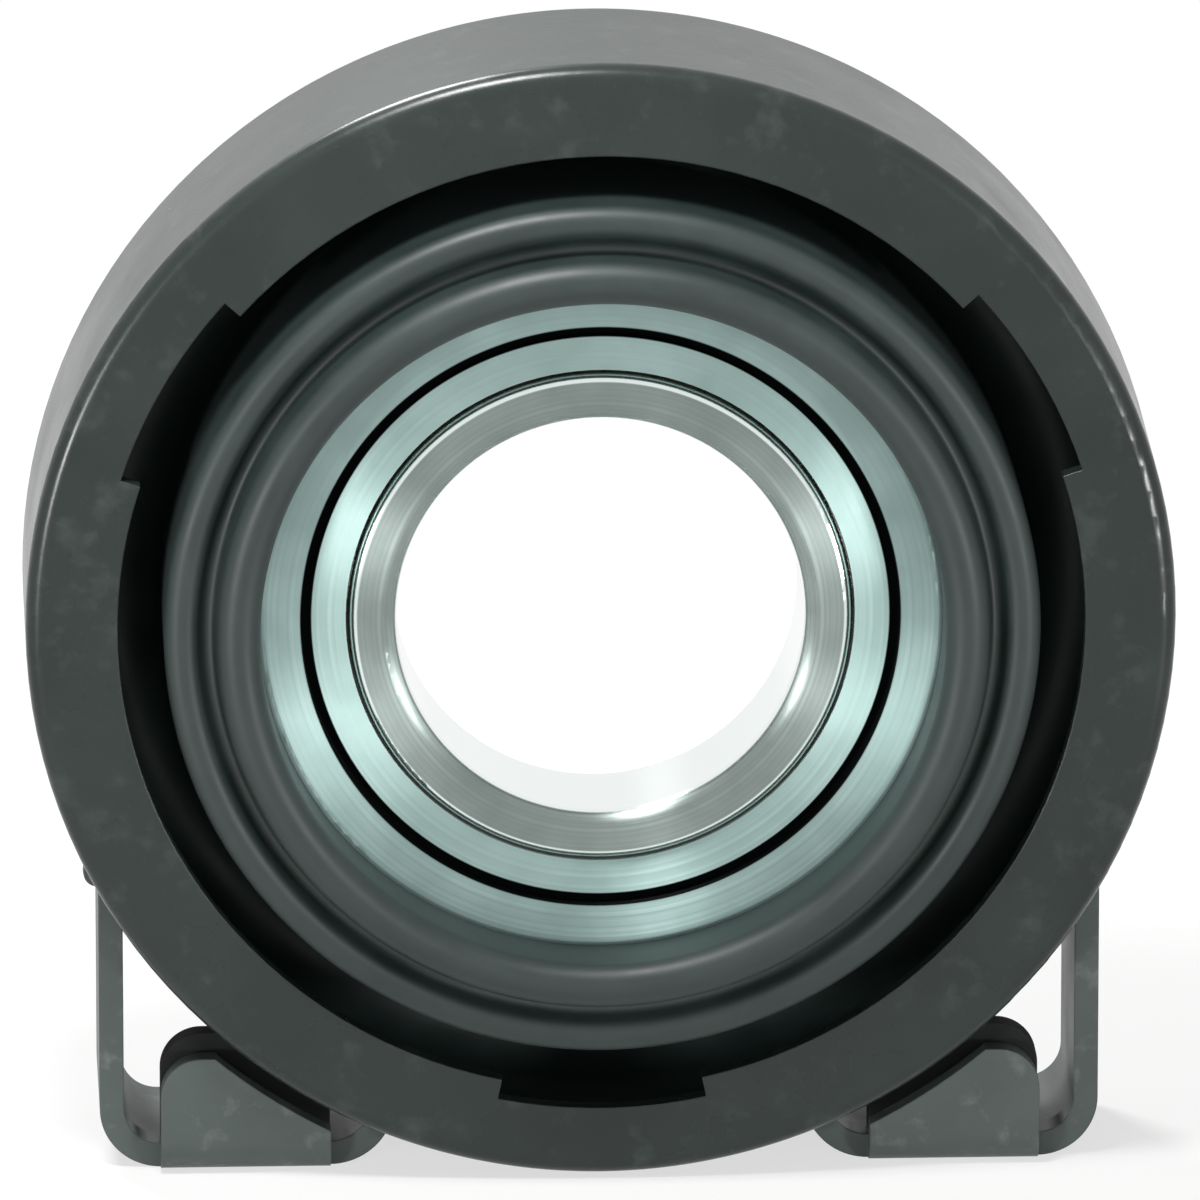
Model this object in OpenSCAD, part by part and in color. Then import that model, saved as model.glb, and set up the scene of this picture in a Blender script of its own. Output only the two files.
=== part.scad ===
// Driveshaft centre bearing: a shielded ball bearing, gripped by a folded rubber mount
// inside a drawn steel shell that stands on two welded sheet-steel feet.
// The shaft axis runs along Y through the origin, which is the middle of the bore.
// The front faces -Y, +Z is up, and the feet rest on a plane below the shell.

/* [Bearing] */
// Diameter of the shaft bore
bore_d = 40; // [39:0.25:41]
// Outside diameter of the bearing
bearing_od = 68; // [67:0.25:69]
// Width of both bearing rings
bearing_w = 15; // [14.5:0.25:16]
// Radius of the rounded edges at the outside diameter
ring_edge = 1; // [0.4:0.1:1.4]
// Radius of the rounded edges at the bore
bore_edge = 1.5; // [0.8:0.1:1.8]
// Radius of the edge where the inner ring meets the shield
land_edge = 0.8; // [0.3:0.1:1]

/* [Balls and cage] */
// Diameter of a ball, as a share of the height between bore and outside diameter
ball_share = 0.567; // [0.53:0.001:0.58]
// Number of balls
ball_count = 12; // [9:1:12]
// Gap between a ball and the bottom of each raceway
race_gap = 0.02; // [0.01:0.01:0.05]
// Radius of the raceway groove, as a multiple of the ball diameter
race_curve = 0.52; // [0.51:0.005:0.54]
// Distance from the pitch circle to the land of each ring, as a share of the same height
land_share = 0.165; // [0.16:0.005:0.18]
// Thickness of the cage sheet
cage_sheet = 0.8; // [0.6:0.05:0.9]
// Gap between the cage ribbon and the land of each ring
cage_gap = 0.51; // [0.3:0.01:0.8]
// Gap between a ball and its pocket
pocket_gap = 0.1; // [0.06:0.01:0.2]
// Diameter of a cage rivet
rivet_d = 1.2; // [1:0.1:1.4]
// Diameter of a rivet head
rivet_head_d = 2; // [1.8:0.1:2.2]
// Height of a rivet head
rivet_head_h = 0.4; // [0.3:0.05:0.6]
// Gap around a rivet in its hole
rivet_gap = 0.02; // [0.01:0.01:0.05]

/* [Shields] */
// Thickness of the shield sheet
shield_sheet = 0.5; // [0.4:0.05:0.6]
// Depth of a shield's face below the faces of the rings
shield_depth = 0.6; // [0.4:0.1:0.8]
// Gap along the shaft between the cage and the rim of a shield
shield_clear = 0.43; // [0.3:0.01:0.6]
// Gap between a shield and the inner ring
shield_gap = 0.35; // [0.25:0.05:0.45]
// Width of the open groove between a shield's face and the outer ring
shield_moat = 0.95; // [0.8:0.05:1.1]
// Distance from the land of the outer ring to the lip that holds the shield
shield_lip = 0.12; // [0.05:0.01:0.4]
// Reach of the shield's rim under that lip
shield_grip = 0.65; // [0.4:0.05:0.8]

/* [Shell] */
// Outside diameter of the shell
shell_od = 113; // [111.5:0.5:116]
// Length of the shell along the shaft
shell_len = 25; // [24:0.5:27]
// Distance from the middle of the bearing to the shell's front face
shell_front = 10.5; // [10:0.25:11.5]
// Thickness of the shell sheet
shell_sheet = 2; // [1.5:0.1:2.2]
// Outside radius of the shell's corners
shell_edge = 1.6; // [1:0.1:2]
// Inside radius of the shell's corners
shell_fillet = 1; // [0.5:0.1:1.5]
// Gap between the rubber fold and the edge of the front opening
front_gap = 4.5; // [3.5:0.25:5.5]
// Width of the turned-in rear flange
rear_flange = 5.25; // [4.75:0.25:6]
// Number of notches in the edge of the front opening
notch_count = 3; // [2:1:4]
// Angle that a notch covers
notch_angle = 24; // [16:1:32]
// Depth of a notch
notch_depth = 2; // [1:0.1:2.5]

/* [Rubber mount] */
// Distance from the middle of the bearing to the front of the lip
lip_front = 16; // [15:0.25:17]
// Inward reach of the front lip over the edge of the bearing
lip_reach = 0.4; // [0.2:0.1:0.8]
// Inward reach of the rear lip over the face of the outer ring
stop_reach = 2.4; // [1.5:0.1:3]
// Thickness of the rear lip
stop_lip = 3.5; // [3:0.1:4.5]
// Radius of the moulded edges of the rear lip
rubber_edge = 0.6; // [0.3:0.1:1]
// Thickness of the collar around the bearing
collar_wall = 3.8; // [3.4:0.1:4.2]
// Width of the valley between the lip and the fold
valley_w = 1.6; // [1.2:0.1:2]
// Distance from the middle of the bearing to the floor of the valley
valley_front = 11.5; // [10.5:0.25:12.5]
// Distance from the middle of the bearing to the crest of the fold
fold_front = 13.5; // [13:0.25:14.25]
// Thickness of the fold's inner wall
fold_wall = 3.6; // [3:0.1:4]
// Thickness of the rubber along the inside of the shell
liner_wall = 3.25; // [2.5:0.05:3.5]

/* [Feet] */
// Distance from the side of the shell in to the outer face of a foot
foot_inset = 7; // [6:0.05:9]
// Width of a foot, from its outer face in to the start of its curled end
foot_w = 22.8; // [22:0.1:24]
// Thickness of the foot sheet
foot_sheet = 2.4; // [2:0.1:3]
// Distance from the shell's front face back to the front of the feet
foot_setback = 3; // [2.5:0.25:5]
// Distance that the feet reach behind the shell
foot_overhang = 0; // [0:0.25:3]
// Distance that the feet reach below the shell
foot_drop = 0.4; // [0.3:0.1:1.2]
// Outside radius of the bend between arm and base
foot_bend = 6; // [5:0.25:7]
// Outside radius of the curled inner end
curl_bend = 6.4; // [6:0.1:7]
// Height of the front web above the underside
web_h = 12; // [11:0.1:12.5]
// Gap between the web and the shell
web_gap = 2.4; // [2:0.1:3]
// Radius of the rounded shoulders of the web and the gusset
web_round = 4.1; // [3:0.1:5]
// Outside radius of the bend under the web
web_bend = 3.2; // [2.8:0.1:4]
// Height of the gusset behind the web, above the underside
gusset_h = 13.6; // [12.5:0.1:14]
// Distance from the bend under the web back to the gusset
gusset_setback = 0.5; // [0.25:0.25:1.5]
// Radius of the weld beads
weld_r = 1.4; // [1:0.1:1.6]
// Bare length at each end of a weld bead
weld_inset = 2.5; // [1.5:0.25:4]
// Distance from the outer face of a foot in to its bolt hole
bolt_inset = 12.5; // [11:0.1:13.5]
// Diameter of the bolt holes
bolt_hole_d = 9; // [7:0.5:10]

/* [Hidden] */
$fn = 96;
// How far a cutter runs past the surface that it cuts
over = 1;
// How far two shapes of one piece run into each other
lap = 0.5;

// Bearing
bore_r = bore_d / 2;
bearing_r = bearing_od / 2;
ring_half = bearing_w / 2;
pitch_r = (bore_r + bearing_r) / 2;
section_h = bearing_r - bore_r;
ball_d = ball_share * section_h;
ball_r = ball_d / 2;
land_offset = land_share * section_h;
race_r = ball_d * race_curve;
inner_land_r = pitch_r - land_offset;
outer_land_r = pitch_r + land_offset;
lip_land_r = outer_land_r + shield_lip;
ball_step = 360 / ball_count;
pocket_r = ball_r + pocket_gap;
cage_crest = pocket_r + cage_sheet;
cage_w = 2 * (land_offset - cage_gap);

// Shields
shield_face = ring_half - shield_depth;
shield_rim = cage_crest + shield_clear;
shield_hole_r = inner_land_r + shield_gap;
shield_wall_r = lip_land_r - shield_moat;
shield_rim_r = lip_land_r + shield_grip;

// Shell
shell_r = shell_od / 2;
shell_in_r = shell_r - shell_sheet;
shell_rear = shell_front - shell_len;
rear_opening_r = shell_r - rear_flange;
notch_start = 30;

// Rubber mount
lip_r = bearing_r - lip_reach;
stop_r = bearing_r - stop_reach;
collar_r = bearing_r + collar_wall;
collar_rear = -ring_half - stop_lip;
fold_in_r = collar_r + valley_w;
fold_out_r = fold_in_r + fold_wall;
liner_r = shell_in_r - liner_wall;
fold_bend_r = (fold_out_r + liner_r) / 2;
bend_in = fold_bend_r - fold_out_r;
bend_out = shell_in_r - fold_bend_r;
fold_centre = shell_rear + shell_sheet + bend_out;
// The front opening leaves the fold room to move
front_opening_r = fold_out_r + front_gap;

// Feet
foot_half = shell_r - foot_inset;
curl_start = foot_half - foot_w;
foot_bottom = -shell_r - foot_drop;
foot_front = shell_front - foot_setback;
foot_rear = shell_rear - foot_overhang;
strip_front = foot_front - web_bend;
arm_face = foot_half - foot_sheet;
bend_x = foot_half - foot_bend;
gusset_front = strip_front - gusset_setback;
gusset_rear = gusset_front - foot_sheet;
bolt_x = foot_half - bolt_inset;
bolt_depth = (gusset_rear + foot_rear) / 2;
// Where the middle of the curled end's sheet meets the shell
curl_z = foot_bottom + curl_bend;
curl_mid_r = curl_bend - foot_sheet / 2;
curl_far = norm([curl_start, curl_z]);
curl_meet = acos((curl_far ^ 2 + curl_mid_r ^ 2 - shell_r ^ 2) / (2 * curl_far * curl_mid_r));
curl_turn = atan2(-curl_z, -curl_start) + curl_meet;

BALLS = [for (i = [1 : ball_count]) str("ball_", i < 10 ? "0" : "", i)];

// Lays what was made around Z along the shaft axis, with its top to the front
module on_shaft() {
    rotate([90, 0, 0])
        children();
}

// Turns a section of radius against distance along the shaft, front upwards
module turned() {
    on_shaft()
        rotate_extrude()
            children();
}

// A rectangle of a turned section, from an inner to an outer radius
module band(r_in, r_out, rear, front) {
    translate([r_in, rear])
        square([r_out - r_in, front - rear]);
}

// What a rounded corner takes away, with the centre of its arc at the origin
module corner_waste(r) {
    difference() {
        square(r + over);
        circle(r);
    }
}

// A band with one radius at its inner and one at its outer corners, on the faces asked for
module rounded_band(r_in, r_out, rear, front, in_round, out_round, round_rear = true) {
    ends = round_rear ? [[front, 0], [rear, 1]] : [[front, 0]];
    difference() {
        band(r_in, r_out, rear, front);
        for (end = ends) {
            sign = end[1] == 0 ? 1 : -1;
            translate([r_out - out_round, end[0] - sign * out_round])
                mirror([0, end[1]])
                    corner_waste(out_round);
            translate([r_in + in_round, end[0] - sign * in_round])
                mirror([0, end[1]])
                    mirror([1, 0])
                        corner_waste(in_round);
        }
    }
}

// Places a copy at every ball, or halfway between the balls
module around_pitch(shift = 0) {
    for (i = [0 : ball_count - 1])
        rotate((i + shift) * ball_step)
            translate([pitch_r, 0, 0])
                children();
}

// Shell: drawn steel ring with both ends turned in and notches in the front edge

module shell_section() {
    difference() {
        rounded_band(front_opening_r, shell_r, shell_rear, shell_front, 0, shell_edge);
        difference() {
            band(0, shell_in_r, shell_rear + shell_sheet, shell_front - shell_sheet);
            for (end = [[shell_front - shell_sheet, 0], [shell_rear + shell_sheet, 1]]) {
                sign = end[1] == 0 ? 1 : -1;
                translate([shell_in_r - shell_fillet, end[0] - sign * shell_fillet])
                    mirror([0, end[1]])
                        corner_waste(shell_fillet);
            }
        }
        band(0, rear_opening_r, shell_rear - over, 0);
    }
}

module notch() {
    reach = front_opening_r + notch_depth;
    half = notch_angle / 2;
    translate([0, 0, shell_front - shell_sheet - over])
        linear_extrude(shell_sheet + 2 * over)
            intersection() {
                circle(reach);
                polygon([
                    [0, 0],
                    2 * reach * [cos(-half), sin(-half)],
                    2 * reach * [cos(half), sin(half)]
                ]);
            }
}

module outer_shell() {
    color([0.27, 0.29, 0.3])
        difference() {
            turned()
                shell_section();
            on_shaft()
                for (i = [0 : notch_count - 1])
                    rotate(notch_start + i * 360 / notch_count)
                        notch();
        }
}

// Rubber mount: one moulding with a gripping collar, a front lip and a deep fold

module rubber_section() {
    crest_r = (collar_r - lip_r) / 2;
    band(bearing_r, fold_in_r, -ring_half, ring_half + lap);
    // Lip in front of the bearing, round at its crest
    rounded_band(lip_r, collar_r, ring_half, lip_front, crest_r, crest_r, false);
    // Stop lip behind the bearing
    rounded_band(stop_r, collar_r, collar_rear, -ring_half, rubber_edge, rubber_edge);
    band(bearing_r, collar_r, -ring_half - rubber_edge, -ring_half + lap);
    band(collar_r, fold_in_r + lap, fold_centre, valley_front);
    // Fold: inner wall, rear bend and the wall along the shell
    rounded_band(fold_in_r, fold_out_r, fold_centre, fold_front, fold_wall / 2, fold_wall / 2, false);
    rounded_band(
        liner_r, shell_in_r, shell_rear + shell_sheet, shell_front - shell_sheet,
        0, shell_fillet
    );
    translate([fold_bend_r, fold_centre]) {
        difference() {
            union() {
                circle(bend_out);
                translate([0, -bend_out])
                    square([bend_in, bend_out]);
            }
            circle(bend_in);
            translate([-shell_r, 0])
                square(2 * shell_r);
        }
        // Joins the bend to the inner wall
        translate([-bend_in - fold_wall / 2, -lap])
            square([fold_wall / 4, 2 * lap]);
    }
}

module rubber_mount() {
    color([0.16, 0.16, 0.155])
        turned()
            rubber_section();
}

// Ball bearing: two grooved rings, riveted cage halves, balls and two shields

module bearing_outer_ring() {
    groove_r = pitch_r + ball_r + race_gap - race_r;
    color([0.78, 0.82, 0.8])
        turned()
            difference() {
                rounded_band(outer_land_r, bearing_r, -ring_half, ring_half, 0, ring_edge);
                translate([groove_r, 0])
                    circle(race_r);
                for (flip = [0, 1])
                    mirror([0, flip]) {
                        band(0, lip_land_r, shield_rim, ring_half + over);
                        band(0, shield_rim_r, shield_rim, shield_rim + shield_sheet);
                    }
            }
}

module bearing_inner_ring() {
    groove_r = pitch_r - ball_r - race_gap + race_r;
    color([0.62, 0.64, 0.64])
        turned()
            difference() {
                rounded_band(bore_r, inner_land_r, -ring_half, ring_half, bore_edge, land_edge);
                translate([groove_r, 0])
                    circle(race_r);
            }
}

module shield_section() {
    band(shield_hole_r, shield_wall_r, shield_face - shield_sheet, shield_face);
    band(shield_wall_r - shield_sheet, shield_wall_r, shield_rim, shield_face);
    band(shield_wall_r - shield_sheet, shield_rim_r, shield_rim, shield_rim + shield_sheet);
}

module front_shield() {
    color([0.82, 0.85, 0.84])
        turned()
            shield_section();
}

module rear_shield() {
    color([0.82, 0.85, 0.84])
        turned()
            mirror([0, 1])
                shield_section();
}

module cage_half() {
    difference() {
        intersection() {
            union() {
                cylinder(h = cage_sheet, r = pitch_r + cage_w);
                around_pitch()
                    sphere(cage_crest);
            }
            rotate_extrude()
                band(pitch_r - cage_w / 2, pitch_r + cage_w / 2, 0, 2 * pocket_r);
        }
        around_pitch()
            sphere(pocket_r);
        around_pitch(0.5)
            translate([0, 0, -over])
                cylinder(h = cage_sheet + 2 * over, d = rivet_d + 2 * rivet_gap);
    }
}

module front_cage() {
    color([0.7, 0.66, 0.55])
        on_shaft()
            cage_half();
}

module rear_cage() {
    color([0.7, 0.66, 0.55])
        on_shaft()
            mirror([0, 0, 1])
                cage_half();
}

module cage_rivets() {
    color([0.55, 0.55, 0.55])
        on_shaft()
            around_pitch(0.5) {
                cylinder(h = 2 * cage_sheet, d = rivet_d, center = true);
                for (flip = [0, 1])
                    mirror([0, 0, flip])
                        translate([0, 0, cage_sheet])
                            cylinder(h = rivet_head_h, d = rivet_head_d);
            }
}

module ball(i) {
    color([0.86, 0.87, 0.87])
        on_shaft()
            rotate(i * ball_step)
                translate([pitch_r, 0, 0])
                    sphere(ball_r);
}

// Feet: sheet bent into an arm, a base, a curled end and a front web, with a gusset behind it

// A quarter of a bent sheet, from straight down to straight along +X
module sheet_bend(r) {
    difference() {
        circle(r);
        circle(r - foot_sheet);
        translate([-2 * r, -2 * r])
            square([2 * r, 4 * r]);
        translate([-2 * r, 0])
            square(4 * r);
    }
}

module strip_outline() {
    translate([arm_face, foot_bottom + foot_bend])
        square([foot_sheet, -foot_bottom - foot_bend]);
    translate([bend_x, foot_bottom + foot_bend])
        sheet_bend(foot_bend);
    translate([curl_start, foot_bottom])
        square([bend_x - curl_start, foot_sheet]);
    translate([curl_start, curl_z])
        mirror([1, 0])
            sheet_bend(curl_bend);
}

// An upright plate on the base with a rounded outer shoulder
module plate_outline(low, high) {
    difference() {
        translate([curl_start, foot_bottom + low])
            square([bend_x - curl_start, high - low]);
        translate([bend_x - web_round, foot_bottom + high - web_round])
            corner_waste(web_round);
    }
}

module weld_outline() {
    translate([arm_face, -sqrt(shell_r ^ 2 - arm_face ^ 2)])
        circle(weld_r);
    translate([foot_half, -sqrt(shell_r ^ 2 - foot_half ^ 2)])
        circle(weld_r);
    translate([curl_start, curl_z])
        translate(curl_mid_r * [cos(curl_turn), sin(curl_turn)])
            circle(weld_r);
}

// Extrudes an outline seen from the front, between two places along the shaft
module along_shaft(rear, front) {
    translate([0, 0, rear])
        linear_extrude(front - rear)
            children();
}

// The bend that turns the base up into the web, and runs into both of them
module web_base_bend() {
    translate([bend_x, foot_bottom + web_bend, strip_front])
        rotate([0, -90, 0])
            linear_extrude(bend_x - curl_start) {
                sheet_bend(web_bend);
                translate([-lap, foot_sheet / 4 - web_bend])
                    square([2 * lap, foot_sheet / 2]);
                translate([web_bend - 3 * foot_sheet / 4, -lap])
                    square([foot_sheet / 2, 2 * lap]);
            }
}

// The web and its bend, with a top edge that follows the shell
module front_web() {
    difference() {
        union() {
            web_base_bend();
            along_shaft(foot_front - foot_sheet, foot_front)
                plate_outline(web_bend, web_h);
        }
        translate([0, 0, strip_front])
            cylinder(h = web_bend + over, r = shell_r + web_gap);
    }
}

module right_side_foot() {
    difference() {
        union() {
            along_shaft(foot_rear, strip_front)
                strip_outline();
            front_web();
            along_shaft(gusset_rear, gusset_front)
                plate_outline(lap, gusset_h);
            along_shaft(foot_rear + weld_inset, strip_front - weld_inset)
                weld_outline();
        }
        translate([0, 0, foot_rear - over])
            cylinder(h = foot_front - foot_rear + 2 * over, r = shell_r);
        translate([bolt_x, foot_bottom - over, bolt_depth])
            rotate([-90, 0, 0])
                cylinder(h = foot_sheet + 2 * over, d = bolt_hole_d);
    }
}

module right_foot() {
    color([0.33, 0.34, 0.34])
        on_shaft()
            right_side_foot();
}

module left_foot() {
    color([0.33, 0.34, 0.34])
        on_shaft()
            mirror([1, 0, 0])
                right_side_foot();
}

outer_shell();
left_foot();
right_foot();
rubber_mount();
bearing_outer_ring();
bearing_inner_ring();
front_shield();
rear_shield();
front_cage();
rear_cage();
cage_rivets();
for (i = [0 : ball_count - 1])
    ball(i);
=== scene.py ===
import math
import random

import bmesh
import bpy
from mathutils import Matrix, Vector


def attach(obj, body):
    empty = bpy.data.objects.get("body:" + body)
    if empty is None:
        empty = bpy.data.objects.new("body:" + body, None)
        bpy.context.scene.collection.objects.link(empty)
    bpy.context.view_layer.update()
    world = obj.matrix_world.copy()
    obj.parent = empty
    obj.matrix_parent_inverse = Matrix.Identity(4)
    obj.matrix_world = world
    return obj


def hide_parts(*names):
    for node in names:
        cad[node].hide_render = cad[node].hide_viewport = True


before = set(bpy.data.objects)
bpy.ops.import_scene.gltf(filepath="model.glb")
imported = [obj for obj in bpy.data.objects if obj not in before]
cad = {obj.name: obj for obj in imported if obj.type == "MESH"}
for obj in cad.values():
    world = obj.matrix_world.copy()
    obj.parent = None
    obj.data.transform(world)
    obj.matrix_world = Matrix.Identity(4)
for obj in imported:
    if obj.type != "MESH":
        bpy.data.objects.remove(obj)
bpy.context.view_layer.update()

# Steel shell: a ring deep-drawn from 2 mm sheet, with both ends turned in and
# three notches stamped in the front edge. It is dipped in charcoal electrocoat
# and baked, before the rubber is moulded into it.
MM = 0.001
PER_MM = 1000
SHELL_R = 56.5
SHELL_FRONT = 10.5
SHELL_DARK = "#171E1C"
SHELL_PALE = "#262E2B"
SHELL_RUB = "#49514E"
SHELL_ROUGH = (0.22, 0.32)
# Nearly all of a noise pattern's values lie between these two
NOISE_LOW, NOISE_HIGH = 0.3, 0.7


def linear(hex_colour):
    """Turns an sRGB hex value into the linear colour that Blender's sockets take."""
    parts = [int(hex_colour[i : i + 2], 16) / 255 for i in (1, 3, 5)]
    return [p / 12.92 if p <= 0.04045 else ((p + 0.055) / 1.055) ** 2.4 for p in parts] + [1]


def add_node(tree, kind, inputs=None, **settings):
    """Adds one node with its settings, and sets or links each input."""
    node = tree.nodes.new("ShaderNode" + kind)
    for name, value in settings.items():
        setattr(node, name, value)
    for socket, value in (inputs or {}).items():
        if isinstance(value, bpy.types.NodeSocket):
            tree.links.new(value, node.inputs[socket])
        else:
            node.inputs[socket].default_value = value
    return node


def new_material(name):
    """An empty node material, and the point on the piece that its patterns are laid out by."""
    material = bpy.data.materials.new(name)
    material.use_nodes = True
    tree = material.node_tree
    tree.nodes.clear()
    return material, tree, add_node(tree, "TexCoord").outputs["Object"]


def dress(material, *pieces):
    """Puts one material on every piece named."""
    for piece in pieces:
        piece.data.materials.clear()
        piece.data.materials.append(material)


def within(tree, length, near, far, edge):
    """One where a length lies between two bounds in millimetres, fading over the edge."""
    middle, half = (near + far) / 2 * MM, (far - near) / 2 * MM
    away = add_node(tree, "Math", {0: length, 1: middle}, operation="SUBTRACT").outputs[0]
    away = add_node(tree, "Math", {0: away}, operation="ABSOLUTE").outputs[0]
    fade = {0: away, 1: half - edge * MM, 2: half + edge * MM, 3: 1.0, 4: 0.0}
    return add_node(tree, "MapRange", fade).outputs[0]


# Electrocoat over drawn steel: a thin satin paint film. It shows a faint
# orange peel, cloudy patches from the dip and the bake, and paler rubbed spots
# where the part was handled. Inside given bounds it can also carry painted shade: near black where
# shadow falls.
def electrocoat(name, dark, pale, rubbed, rough_range, shade_bounds=None, painted_shade=None):
    """Paint with wear; bounds across, along and up mark where painted shade turns it near black."""
    material, tree, place = new_material(name)
    cloud_mm, peel_mm, scuff_mm = 14, 1.1, 4
    rub_from, rub_full, rub_share = 0.55, 0.8, 0.4
    peel_depth_mm, edge_round_mm = 0.03, 0.3
    shade_fade_mm, shade_rough = 0.3, 0.75
    cloud = add_node(
        tree, "TexNoise", {"Vector": place, "Scale": PER_MM / cloud_mm, "Detail": 4, "Roughness": 0.6}
    ).outputs[0]
    peel = add_node(
        tree, "TexNoise", {"Vector": place, "Scale": PER_MM / peel_mm, "Detail": 2, "Roughness": 0.5}
    ).outputs[0]
    scuff = add_node(
        tree,
        "TexNoise",
        {"Vector": place, "Scale": PER_MM / scuff_mm, "Detail": 6, "Roughness": 0.65},
    ).outputs[0]
    # a colour mix has its two colours on sockets 6 and 7, and its result on output 2
    film = add_node(
        tree, "Mix", {0: cloud, 6: linear(dark), 7: linear(pale)}, data_type="RGBA"
    ).outputs[2]
    worn = add_node(
        tree, "MapRange", {0: scuff, 1: rub_from, 2: rub_full, 3: 0.0, 4: rub_share}
    ).outputs[0]
    colour = add_node(
        tree, "Mix", {0: worn, 6: film, 7: linear(rubbed)}, data_type="RGBA"
    ).outputs[2]
    low, high = rough_range
    rough = add_node(
        tree, "MapRange", {0: cloud, 1: NOISE_LOW, 2: NOISE_HIGH, 3: low, 4: high}
    ).outputs[0]
    # painted shade: inside the bounds the paint turns near black and rougher, standing for the shadow
    # that falls there
    if shade_bounds:
        axes = add_node(tree, "SeparateXYZ", {0: place}).outputs
        across = add_node(tree, "Math", {0: axes["X"]}, operation="ABSOLUTE").outputs[0]
        shade_mask = within(tree, across, *shade_bounds[0], shade_fade_mm)
        for length, bounds in ((axes["Y"], shade_bounds[1]), (axes["Z"], shade_bounds[2])):
            inside = within(tree, length, *bounds, shade_fade_mm)
            shade_mask = add_node(tree, "Math", {0: shade_mask, 1: inside}, operation="MULTIPLY").outputs[0]
        colour = add_node(
            tree, "Mix", {0: shade_mask, 6: colour, 7: linear(painted_shade)}, data_type="RGBA"
        ).outputs[2]
        rough = add_node(tree, "Mix", {0: shade_mask, 2: rough, 3: shade_rough}).outputs[0]
    # the film draws back from sharp edges, which rounds them a little
    soft_edge = add_node(tree, "Bevel", {"Radius": edge_round_mm * MM}, samples=6).outputs[0]
    bump = add_node(
        tree,
        "Bump",
        {"Height": peel, "Strength": 0.35, "Distance": peel_depth_mm * MM, "Normal": soft_edge},
    ).outputs[0]
    shader = add_node(
        tree,
        "BsdfPrincipled",
        {
            "Base Color": colour,
            "Roughness": rough,
            "Normal": bump,
            "IOR": 1.5,
            "Specular IOR Level": 0.35,
        },
    )
    add_node(tree, "OutputMaterial", {"Surface": shader.outputs[0]})
    return material


shell_coat = electrocoat("electrocoat_on_drawn_steel", SHELL_DARK, SHELL_PALE, SHELL_RUB, SHELL_ROUGH)
dress(shell_coat, cad["outer_shell"])


# Feet: two strips of 2.4 mm sheet bent into an arm, a base and a curled end, with
# the front edge turned up as a web. They are welded to the shell before the dip.
FOOT_DARK = "#353D3B"
FOOT_PALE = "#4A5250"
FOOT_RUB = "#8A908D"
FOOT_ROUGH = (0.38, 0.52)
# Near black for painted shade in the shadowed gap behind each web
FOOT_SHADE_BLACK = "#0A0D0C"
# The gusset stands in the gap between the web and the shell, painted near black as painted shade:
# the gap's bounds in millimetres, out from the middle on each side, along the shaft and up
FOOT_SHADED_GAP = ((25, 46), (-4.2, -1.0), (-54, -36))

foot_coat = electrocoat(
    "electrocoat_on_bent_sheet", FOOT_DARK, FOOT_PALE, FOOT_RUB, FOOT_ROUGH, FOOT_SHADED_GAP, FOOT_SHADE_BLACK
)
dress(foot_coat, cad["left_foot"], cad["right_foot"])


# Weld beads: each foot is run on to the shell with three short gas-shielded welds,
# two along its arm and one along the curled end. The puddle freezes in ripples.
BEAD_R = 1.45 * MM
BEAD_REAR = 12 * MM
BEAD_FRONT = -1.8 * MM
BEAD_RIPPLE = 1.15 * MM
BEAD_RINGS, BEAD_SIDES = 120, 24
# Shares of the bead's radius that the ripples and the slow sway of the torch take up,
# and the share of a ripple's length by which it bows
RIPPLE_DEPTH, SWAY_DEPTH, RIPPLE_BOW = 0.1, 0.05, 0.35
RIPPLE_SHARPNESS = 0.6
BEAD_SWAYS = 14
SAME_POINT = 1e-7
# How far from the middle each bead runs along the underside of the shell
BEAD_ACROSS = {"arm_inside": 47.1, "arm_outside": 49.5, "curled_end": 21.77}


def smooth_object(name, mesh):
    """Puts a finished mesh in the scene as an object with smooth shading."""
    bmesh.ops.recalc_face_normals(mesh, faces=mesh.faces)
    data = bpy.data.meshes.new(name)
    mesh.to_mesh(data)
    mesh.free()
    data.shade_smooth()
    piece = bpy.data.objects.new(name, data)
    bpy.context.collection.objects.link(piece)
    return piece


def weld_bead(name, x, z, seed):
    """A rippled bead along Y with rounded ends, built as rings around its own axis."""
    drift = random.Random(seed)
    wander = [drift.uniform(-1, 1) for _ in range(BEAD_SWAYS + 2)]
    mesh = bmesh.new()
    rows = []
    for i in range(BEAD_RINGS + 1):
        t = i / BEAD_RINGS
        y = BEAD_FRONT + (BEAD_REAR - BEAD_FRONT) * t
        end = min(y - BEAD_FRONT, BEAD_REAR - y)
        cap = math.sqrt(max(0.0, 1 - (1 - min(end / BEAD_R, 1)) ** 2))
        phase = (y - BEAD_FRONT) / BEAD_RIPPLE
        crest = abs(math.sin(math.pi * phase)) ** RIPPLE_SHARPNESS
        ripple = 1 - RIPPLE_DEPTH + RIPPLE_DEPTH * crest
        part, blend = divmod(t * BEAD_SWAYS, 1)
        sway = wander[int(part)] * (1 - blend) + wander[int(part) + 1] * blend
        r = BEAD_R * cap * ripple * (1 + SWAY_DEPTH * sway)
        row = []
        for k in range(BEAD_SIDES):
            angle = 2 * math.pi * k / BEAD_SIDES
            # each ripple bows towards the front, as the puddle was drawn along
            bow = -RIPPLE_BOW * BEAD_RIPPLE * (1 - math.cos(angle)) / 2 * cap
            row.append(mesh.verts.new((x + r * math.cos(angle), y + bow, z + r * math.sin(angle))))
        rows.append(row)
    for low, high in zip(rows, rows[1:]):
        for k in range(BEAD_SIDES):
            n = (k + 1) % BEAD_SIDES
            mesh.faces.new((low[k], low[n], high[n], high[k]))
    # the rounded ends close in one point each
    bmesh.ops.remove_doubles(mesh, verts=mesh.verts, dist=SAME_POINT)
    return smooth_object(name, mesh)


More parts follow.
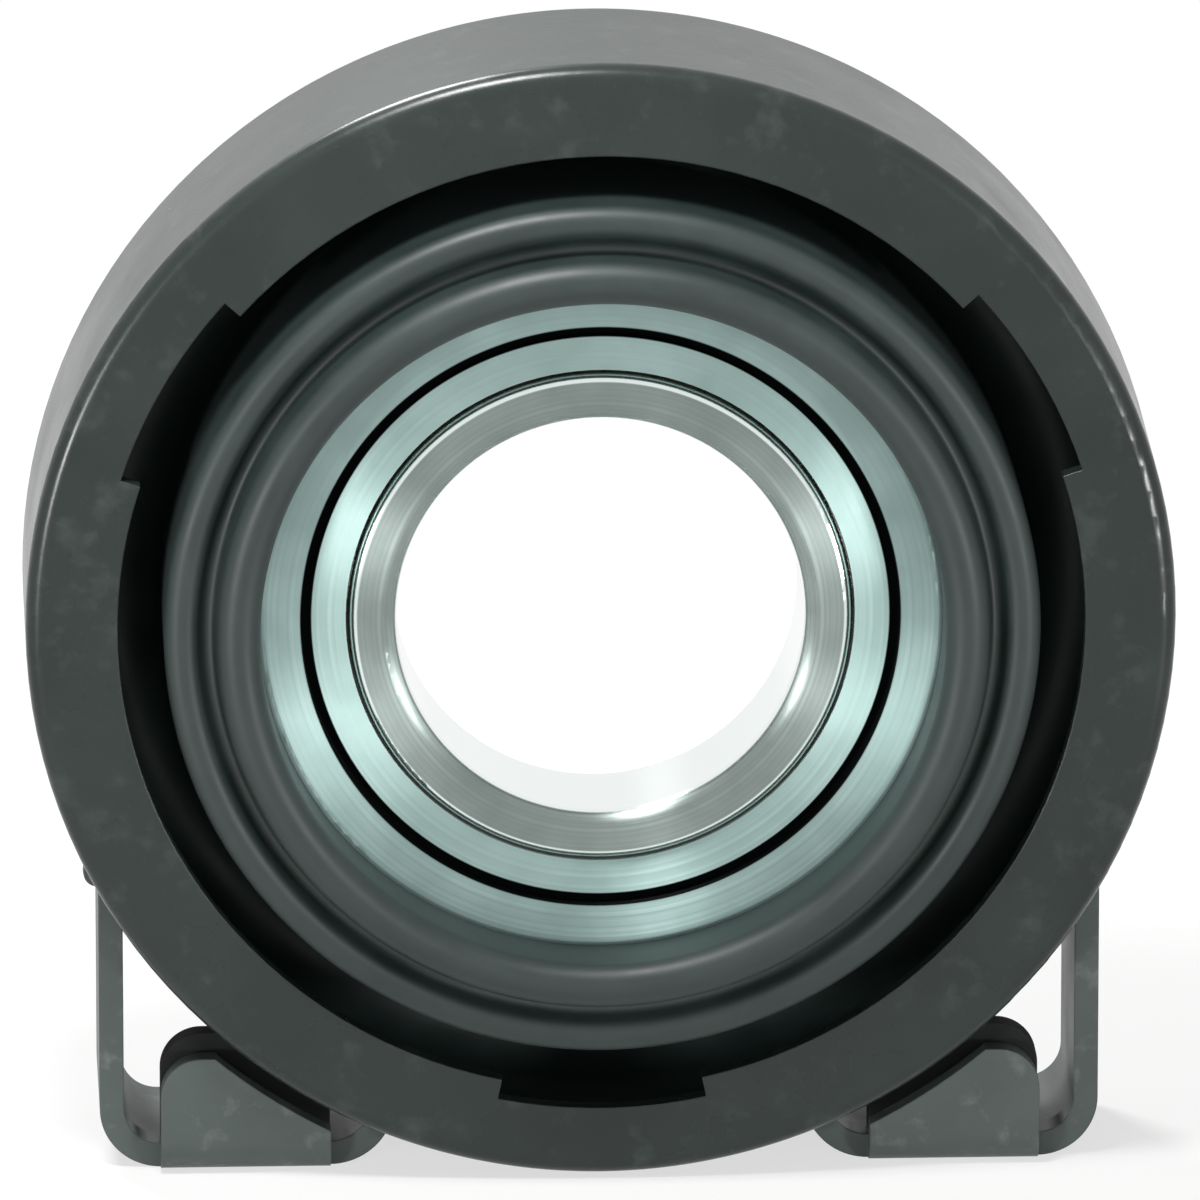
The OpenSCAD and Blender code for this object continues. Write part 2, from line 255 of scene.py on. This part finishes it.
for side, sign in (("left", -1), ("right", 1)):
    for number, (spot, across) in enumerate(BEAD_ACROSS.items()):
        down = math.sqrt(SHELL_R**2 - across**2)
        # no two beads along one foot sway alike
        seed = 7 * number + sign
        bead = weld_bead(f"{side}_{spot}_weld", sign * across * MM, -down * MM, seed)
        dress(foot_coat, bead)
        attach(bead, "housing")


# Rubber mount: one moulding of black natural rubber, vulcanised on to the shell.
# A collar grips the bearing, and a deep fold lets the shaft move a few millimetres.
RUBBER_DARK = "#141D1C"
RUBBER_BLOOM = "#293533"
# The section: radius, distance to the front and corner radius, in millimetres
RUBBER_SECTION = [
    (34.0, 7.5, 0.0),
    (33.6, 7.5, 0.15),
    (33.6, 16.0, 2.1),
    (37.8, 16.0, 2.05),
    (38.1, 11.7, 0.6),
    (39.2, 11.7, 0.85),
    (40.2, 13.5, 1.6),
    (43.0, 13.5, 1.6),
    (43.0, -9.25, 4.12),
    (51.25, -9.25, 4.12),
    (51.25, 8.5, 0.2),
    (54.5, 8.5, 1.0),
    (54.5, -12.5, 1.0),
    (39.75, -12.5, 7.2),
    (39.75, -5.125, 0.17),
    (39.4, -5.125, 0.17),
    (39.4, -7.5, 0.79),
    (37.8, -7.5, 0.79),
    (37.8, -11.0, 0.6),
    (31.6, -11.0, 0.6),
    (31.6, -7.5, 0.6),
    (34.0, -7.5, 0.0),
]
RUBBER_TURNS = 320
RUBBER_ROUGH = (0.42, 0.56)
# Steps in an arc for each millimetre of its radius, with the fewest and the most, and the
# least distance between two points of a section
STEPS_PER_MM, FEWEST_STEPS, MOST_STEPS = 6, 3, 18
LEAST_STEP = 0.004


def rounded_section(corners):
    """Follows a closed section and swaps each corner for an arc of its own radius."""
    path = []
    for i, (r, a, fillet) in enumerate(corners):
        corner = Vector((r, a))
        before = (Vector(corners[i - 1][:2]) - corner).normalized()
        after = (Vector(corners[(i + 1) % len(corners)][:2]) - corner).normalized()
        half = before.angle(after) / 2
        if fillet == 0:
            path.append(corner)
            continue
        centre = corner + (before + after).normalized() * fillet / math.sin(half)
        start = corner + before * fillet / math.tan(half) - centre
        turn = start.angle_signed(corner + after * fillet / math.tan(half) - centre)
        steps = min(MOST_STEPS, round(fillet * STEPS_PER_MM + FEWEST_STEPS))
        for k in range(steps + 1):
            path.append(centre + Matrix.Rotation(-turn * k / steps, 2) @ start)
    spaced = [path[0]]
    for point in path[1:]:
        if (point - spaced[-1]).length > LEAST_STEP:
            spaced.append(point)
    return spaced


def turned_piece(name, section, turns):
    """Turns a closed section of radius against distance to the front around the shaft axis."""
    mesh = bmesh.new()
    rings = []
    for k in range(turns):
        angle = 2 * math.pi * k / turns
        rings.append(
            [
                mesh.verts.new((p.x * MM * math.cos(angle), -p.y * MM, p.x * MM * math.sin(angle)))
                for p in section
            ]
        )
    count = len(section)
    for k in range(turns):
        here, following = rings[k], rings[(k + 1) % turns]
        for j in range(count):
            n = (j + 1) % count
            mesh.faces.new((here[j], here[n], following[n], following[j]))
    return smooth_object(name, mesh)


rubber = turned_piece("moulded_rubber_mount", rounded_section(RUBBER_SECTION), RUBBER_TURNS)

# Moulded natural rubber with carbon black: matt, with a fine skin from the mould
# and a dusty brown-grey bloom of wax that gathers in soft patches.
rubber_skin, tree, place = new_material("moulded_natural_rubber")
bloom_mm, skin_mm, skin_depth_mm = 9, 0.5, 0.02
bloom = add_node(
    tree, "TexNoise", {"Vector": place, "Scale": PER_MM / bloom_mm, "Detail": 5, "Roughness": 0.65}
).outputs[0]
grain = add_node(
    tree, "TexNoise", {"Vector": place, "Scale": PER_MM / skin_mm, "Detail": 3, "Roughness": 0.6}
).outputs[0]
colour = add_node(
    tree, "Mix", {0: bloom, 6: linear(RUBBER_DARK), 7: linear(RUBBER_BLOOM)}, data_type="RGBA"
).outputs[2]
low, high = RUBBER_ROUGH
rough = add_node(
    tree, "MapRange", {0: bloom, 1: NOISE_LOW, 2: NOISE_HIGH, 3: low, 4: high}
).outputs[0]
bump = add_node(
    tree, "Bump", {"Height": grain, "Strength": 0.3, "Distance": skin_depth_mm * MM}
).outputs[0]
shader = add_node(
    tree,
    "BsdfPrincipled",
    {
        "Base Color": colour,
        "Roughness": rough,
        "Normal": bump,
        "IOR": 1.52,
        "Specular IOR Level": 0.4,
    },
)
add_node(tree, "OutputMaterial", {"Surface": shader.outputs[0]})

dress(rubber_skin, rubber)
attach(rubber, "housing")
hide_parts("rubber_mount")


# Bearing outer ring: through-hardened bearing steel, turned and then ground on
# every face. It is pressed into the collar, and the shields snap into its grooves.
RING_STEEL = "#B4CDC9"
RING_STEEL_SHADE = "#96AEAA"
RING_ROUGH = (0.42, 0.54)
RING_LINES = 0.35
# Painted shade: near black, with its gloss, for the shadowed grooves beside the shields
GROOVE_SHADE_BLACK = "#0E1110"
GROOVE_SHADE_ROUGH = 0.5


# Ground bearing steel: a bright metal with fine rings left by the wheel. The real
# lines are a few hundredths of a millimetre apart, and are drawn coarser to show.
def ground_steel(name, bright, shade, rough_range, line_mm, zones=()):
    """Steel with turned lines; a zone is two radii, with another colour and gloss between them."""
    material, tree, place = new_material(name)
    patch_mm, line_depth_mm, zone_fade_mm = 8, 0.004, 0.06
    tone_from, tone_full = 0.12, 0.4
    across = add_node(tree, "VectorMath", {0: place, 1: (1, 0, 1)}, operation="MULTIPLY").outputs[0]
    radius = add_node(tree, "VectorMath", {0: across}, operation="LENGTH").outputs["Value"]
    along = add_node(tree, "SeparateXYZ", {0: place}).outputs["Y"]
    track = add_node(tree, "CombineXYZ", {0: radius, 1: along}).outputs[0]
    lines = add_node(
        tree,
        "TexNoise",
        {"Vector": track, "Scale": PER_MM / line_mm, "Detail": 3, "Roughness": 0.6},
        noise_dimensions="2D",
    ).outputs[0]
    patch = add_node(
        tree, "TexNoise", {"Vector": place, "Scale": PER_MM / patch_mm, "Detail": 3}
    ).outputs[0]
    mixed = add_node(tree, "Math", {0: lines, 1: patch}, operation="MULTIPLY").outputs[0]
    tone = add_node(
        tree, "MapRange", {0: mixed, 1: tone_from, 2: tone_full, 3: 0.0, 4: 1.0}
    ).outputs[0]
    colour = add_node(
        tree, "Mix", {0: tone, 6: linear(shade), 7: linear(bright)}, data_type="RGBA"
    ).outputs[2]
    low, high = rough_range
    rough = add_node(
        tree, "MapRange", {0: lines, 1: NOISE_LOW, 2: NOISE_HIGH, 3: low, 4: high}
    ).outputs[0]
    # a zone is another finish, or a band of painted shade
    for near, far, zone_colour, zone_rough in zones:
        inside = within(tree, radius, near, far, zone_fade_mm)
        colour = add_node(
            tree, "Mix", {0: inside, 6: colour, 7: linear(zone_colour)}, data_type="RGBA"
        ).outputs[2]
        rough = add_node(tree, "Mix", {0: inside, 2: rough, 3: zone_rough}).outputs[0]
    bump = add_node(
        tree, "Bump", {"Height": lines, "Strength": 0.2, "Distance": line_depth_mm * MM}
    ).outputs[0]
    around = add_node(tree, "Tangent", direction_type="RADIAL", axis="Y").outputs[0]
    shader = add_node(
        tree,
        "BsdfPrincipled",
        {
            "Base Color": colour,
            "Metallic": 1.0,
            "Roughness": rough,
            "Normal": bump,
            "Anisotropic": 0.9,
            "Anisotropic Rotation": 0.25,
            "Tangent": around,
        },
    )
    add_node(tree, "OutputMaterial", {"Surface": shader.outputs[0]})
    return material


# Painted shade: the edge that the shield snaps under is painted black for the shadow in its groove
ring_groove_shade = (29.3, 29.55, GROOVE_SHADE_BLACK, GROOVE_SHADE_ROUGH)
ring_steel = ground_steel(
    "ground_bearing_steel", RING_STEEL, RING_STEEL_SHADE, RING_ROUGH, RING_LINES, [ring_groove_shade]
)
dress(ring_steel, cad["bearing_outer_ring"])


# Bearing inner ring: the same steel, ground and then honed in the raceway. It is
# pressed on to the shaft and turns with it.
INNER_STEEL = "#98A39F"
INNER_STEEL_SHADE = "#7C8683"
BORE_BRIGHT = "#EAF0EE"
EDGE_BRIGHT = "#DDE8E5"
INNER_ROUGH = (0.3, 0.42)
BORE_ROUGH = 0.1
EDGE_ROUGH = 0.14

# The bore is ground brighter than the faces, and the rounded outer edge is tumbled bright
bore_ground = (19.5, 20.2, BORE_BRIGHT, BORE_ROUGH)
edge_tumbled = (23.95, 24.8, EDGE_BRIGHT, EDGE_ROUGH)
inner_steel = ground_steel(
    "honed_bearing_steel",
    INNER_STEEL,
    INNER_STEEL_SHADE,
    INNER_ROUGH,
    RING_LINES,
    [bore_ground, edge_tumbled],
)
dress(inner_steel, cad["bearing_inner_ring"])


# Balls: twelve of them roll between the raceways. They are chrome steel, cold headed
# from wire, hardened and lapped until they mirror what is around them.
BALL_STEEL = "#D6D9D9"
BALL_SHADE = "#C6CACA"
BALL_ROUGH = (0.04, 0.08)
BALL_LINES = 0.8

ball_steel = ground_steel("lapped_chrome_steel", BALL_STEEL, BALL_SHADE, BALL_ROUGH, BALL_LINES)
dress(ball_steel, *[piece for name, piece in cad.items() if name.startswith("ball_")])


# Cage: two ribbons pressed from thin strip into half pockets, closed around the balls
# with soft rivets between them. Cold-rolled strip is duller and warmer than the rings.
CAGE_STEEL = "#A8A392"
CAGE_SHADE = "#8B8778"
CAGE_ROUGH = (0.3, 0.45)
CAGE_LINES = 0.6

cage_steel = ground_steel("pressed_strip_steel", CAGE_STEEL, CAGE_SHADE, CAGE_ROUGH, CAGE_LINES)
dress(cage_steel, cad["front_cage"], cad["rear_cage"], cad["cage_rivets"])


# Grease: a dark lithium soap grease, packed between the rings when the bearing is
# made. The balls push it aside into a soft roll on the inner ring, behind each shield.
GREASE_DARK = "#15140F"
GREASE_BROWN = "#2B261B"
# The roll's section: radius, distance to the front and corner radius, in millimetres
GREASE_SECTION = [(24.6, 5.1, 0.0), (24.6, 6.3, 0.0), (25.7, 6.3, 0.45), (25.7, 5.1, 0.45)]
GREASE_TURNS = 240
GREASE_ROUGH = (0.2, 0.35)
# Outside this radius the roll is uneven: how many waves go round it, and the share of
# the radius by which each swells
GREASE_FREE_R = 25 * MM
BROAD_WAVES, BROAD_SWELL = 12, 0.004
FINE_WAVES, FINE_SWELL = 29, 0.002

# Soft soap grease: it looks wet, with a smooth gloss and streaks where it was dragged.
grease, tree, place = new_material("lithium_soap_grease")
streak_mm, streak_depth_mm = 1.5, 0.1
streak = add_node(
    tree, "TexNoise", {"Vector": place, "Scale": PER_MM / streak_mm, "Detail": 4, "Roughness": 0.6}
).outputs[0]
colour = add_node(
    tree, "Mix", {0: streak, 6: linear(GREASE_DARK), 7: linear(GREASE_BROWN)}, data_type="RGBA"
).outputs[2]
low, high = GREASE_ROUGH
rough = add_node(
    tree, "MapRange", {0: streak, 1: NOISE_LOW, 2: NOISE_HIGH, 3: low, 4: high}
).outputs[0]
bump = add_node(
    tree, "Bump", {"Height": streak, "Strength": 0.4, "Distance": streak_depth_mm * MM}
).outputs[0]
shader = add_node(
    tree,
    "BsdfPrincipled",
    {"Base Color": colour, "Roughness": rough, "Normal": bump, "IOR": 1.48},
)
add_node(tree, "OutputMaterial", {"Surface": shader.outputs[0]})

for end, toward in (("front", 1), ("rear", -1)):
    corners = [(r, toward * a, fillet) for r, a, fillet in GREASE_SECTION][::toward]
    roll = turned_piece(f"{end}_grease_roll", rounded_section(corners), GREASE_TURNS)
    for vertex in roll.data.vertices:
        angle = math.atan2(vertex.co.z, vertex.co.x)
        if math.hypot(vertex.co.x, vertex.co.z) > GREASE_FREE_R:
            broad = BROAD_SWELL * math.sin(BROAD_WAVES * angle + toward)
            swell = 1 + broad + FINE_SWELL * math.sin(FINE_WAVES * angle)
            vertex.co.x *= swell
            vertex.co.z *= swell
    dress(grease, roll)
    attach(roll, "shaft_ring")


# Shields: thin bright sheet, pressed into a dish and snapped into the outer ring.
# Each one keeps the grease in and stands clear of the inner ring.
SHIELD_STEEL = "#B2CBC7"
SHIELD_SHADE = "#98B1AC"
SHIELD_ROUGH = (0.42, 0.54)
SHIELD_LINES = 0.5

# Painted shade: the groove around the shield's face is painted black for the shadow that falls in it
shield_groove_shade = (28.4, 31, GROOVE_SHADE_BLACK, GROOVE_SHADE_ROUGH)
shield_steel = ground_steel(
    "bright_pressed_sheet", SHIELD_STEEL, SHIELD_SHADE, SHIELD_ROUGH, SHIELD_LINES, [shield_groove_shade]
)
dress(shield_steel, cad["front_shield"], cad["rear_shield"])


# Studio: a pale floor under the feet and a white surround. The camera, mirrors and
# glossy steel see them as white, and the floor still takes the soft shadow.
FLOOR_Z = -56.95 * MM
FLOOR_HALF = 4.0
FLOOR_WHITE = "#F4F4F2"
FLOOR_GLOW = 0.65

floor_mesh = bpy.data.meshes.new("studio_floor")
floor_mesh.from_pydata(
    [(x * FLOOR_HALF, y * FLOOR_HALF, FLOOR_Z) for x, y in ((-1, -1), (1, -1), (1, 1), (-1, 1))],
    [],
    [(0, 1, 2, 3)],
)
floor = bpy.data.objects.new("studio_floor", floor_mesh)
bpy.context.collection.objects.link(floor)


def seen_directly(tree):
    """One where a ray from the camera, a gloss or a clear body meets this surface."""
    rays = add_node(tree, "LightPath").outputs
    shown = add_node(
        tree, "Math", {0: rays["Is Camera Ray"], 1: rays["Is Glossy Ray"]}, operation="ADD"
    ).outputs[0]
    return add_node(
        tree, "Math", {0: shown, 1: rays["Is Transmission Ray"]}, operation="ADD", use_clamp=True
    ).outputs[0]


# The paper runs from a shadow under the part to plain white further out
SHADOW_NEAR = 0.05
SHADOW_FAR = 0.45

floor_paper, tree, place = new_material("studio_paper")
shown = seen_directly(tree)
away = add_node(tree, "VectorMath", {0: place}, operation="LENGTH").outputs["Value"]
white = add_node(
    tree, "MapRange", {0: away, 1: SHADOW_NEAR, 2: SHADOW_FAR, 3: FLOOR_GLOW, 4: 1.0}
).outputs[0]
share = add_node(tree, "Math", {0: shown, 1: white}, operation="MULTIPLY").outputs[0]
matt = add_node(tree, "BsdfDiffuse", {"Color": linear(FLOOR_WHITE)}).outputs[0]
glow = add_node(tree, "Emission", {"Color": (1, 1, 1, 1), "Strength": 1.0}).outputs[0]
paper = add_node(tree, "MixShader", {0: share, 1: matt, 2: glow}).outputs[0]
add_node(tree, "OutputMaterial", {"Surface": paper})
dress(floor_paper, floor)

WORLD_FILL = 0.25
world = bpy.data.worlds.new("white_surround")
bpy.context.scene.world = world
world.use_nodes = True
tree = world.node_tree
tree.nodes.clear()
shown = seen_directly(tree)
level = add_node(
    tree, "MapRange", {0: shown, 1: 0.0, 2: 1.0, 3: WORLD_FILL, 4: 1.0}
).outputs[0]
surround = add_node(tree, "Background", {"Color": (1, 1, 1, 1), "Strength": level}).outputs[0]
add_node(tree, "OutputWorld", {"Surface": surround})


# Lamps: a softbox close above the front draws the bright line along the shell's top
# edge, a low one on each side fans out over the ground steel, and a broad one stands
# behind for the rear. Each has its place and width in metres and its power in watts.
LAMPS = {
    "top_softbox": ((-0.05, -0.09, 0.22), 0.07, 0.7),
    "left_softbox": ((-0.36, -0.45, -0.015), 0.08, 1.3),
    "right_softbox": ((0.36, -0.45, -0.015), 0.08, 1.2),
    "rear_softbox": ((-0.2, 0.4, 0.5), 0.18, 4.0),
}

for name, (spot, width, watts) in LAMPS.items():
    lamp_data = bpy.data.lights.new(name, "AREA")
    lamp_data.shape = "DISK"
    lamp_data.size = width
    lamp_data.energy = watts
    lamp = bpy.data.objects.new(name, lamp_data)
    lamp.location = spot
    lamp.visible_camera = False
    lamp.rotation_euler = (-Vector(spot)).to_track_quat("-Z", "Y").to_euler()
    bpy.context.collection.objects.link(lamp)


# Camera: a long lens in front, a little above and a touch to the left, as the
# photograph was taken.
CAMERA_RISE = math.radians(15.8)
CAMERA_TURN = math.radians(2.5)
CAMERA_AWAY = 1.8
FRAME_WIDTH = 117.6 * MM
AIM = Vector((-0.2, -SHELL_FRONT, 2.645)) * MM

camera_data = bpy.data.cameras.new("camera")
camera_data.lens = camera_data.sensor_width * CAMERA_AWAY / FRAME_WIDTH
camera_data.clip_end = 5 * FLOOR_HALF
camera = bpy.data.objects.new("camera", camera_data)
flat = Vector((-math.sin(CAMERA_TURN), -math.cos(CAMERA_TURN), 0))
back = flat * math.cos(CAMERA_RISE) + Vector((0, 0, math.sin(CAMERA_RISE)))
camera.location = AIM + back * CAMERA_AWAY
camera.rotation_euler = (-back).to_track_quat("-Z", "Y").to_euler()
bpy.context.collection.objects.link(camera)
bpy.context.scene.camera = camera
bpy.context.scene.view_settings.view_transform = "Standard"
